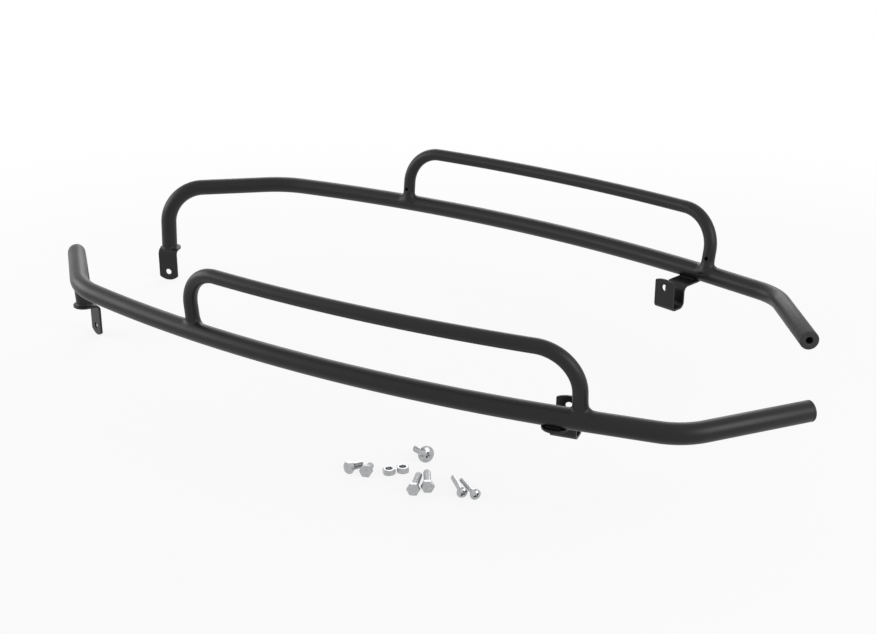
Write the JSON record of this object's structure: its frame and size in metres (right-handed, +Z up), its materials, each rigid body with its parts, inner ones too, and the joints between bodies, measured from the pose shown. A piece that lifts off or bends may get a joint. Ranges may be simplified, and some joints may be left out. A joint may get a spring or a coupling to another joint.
{
  "type": "motorcycle crash bars",
  "caption": "Pair of bent tube crash bars for a motorcycle with welded hoops, folded brackets, end plugs and loose fasteners.",
  "frame": {"origin": "middle of the pair's box at the level of the rear brackets' lower edges, where the loose fasteners lie", "axes": "+X forward, +Y to the left, +Z up, as the bars stand on the machine"},
  "size_m": [1.0696, 0.5606, 0.217],
  "materials": {
    "coated_steel": "satin black powder coat",
    "plug_plastic": "moulded black plastic",
    "zinc_steel": "bright zinc plate"
  },
  "bodies": {
    "root": {"right_main_tube": "coated_steel", "left_main_tube": "coated_steel", "right_hoop": "coated_steel", "left_hoop": "coated_steel", "right_rear_bracket": "coated_steel", "left_rear_bracket": "coated_steel", "right_front_bracket": "coated_steel", "left_front_bracket": "coated_steel", "right_end_plug": "plug_plastic", "left_end_plug": "plug_plastic", "right_rear_hoop_weld": "coated_steel", "left_rear_hoop_weld": "coated_steel", "right_front_hoop_weld": "coated_steel", "left_front_hoop_weld": "coated_steel", "right_rear_bracket_weld": "coated_steel", "left_rear_bracket_weld": "coated_steel", "right_front_bracket_weld": "coated_steel", "left_front_bracket_weld": "coated_steel", "long_bolts": "zinc_steel", "short_bolts": "zinc_steel", "nuts": "zinc_steel", "wide_screw": "zinc_steel", "slim_screws": "zinc_steel"}
  },
  "joints": []
}
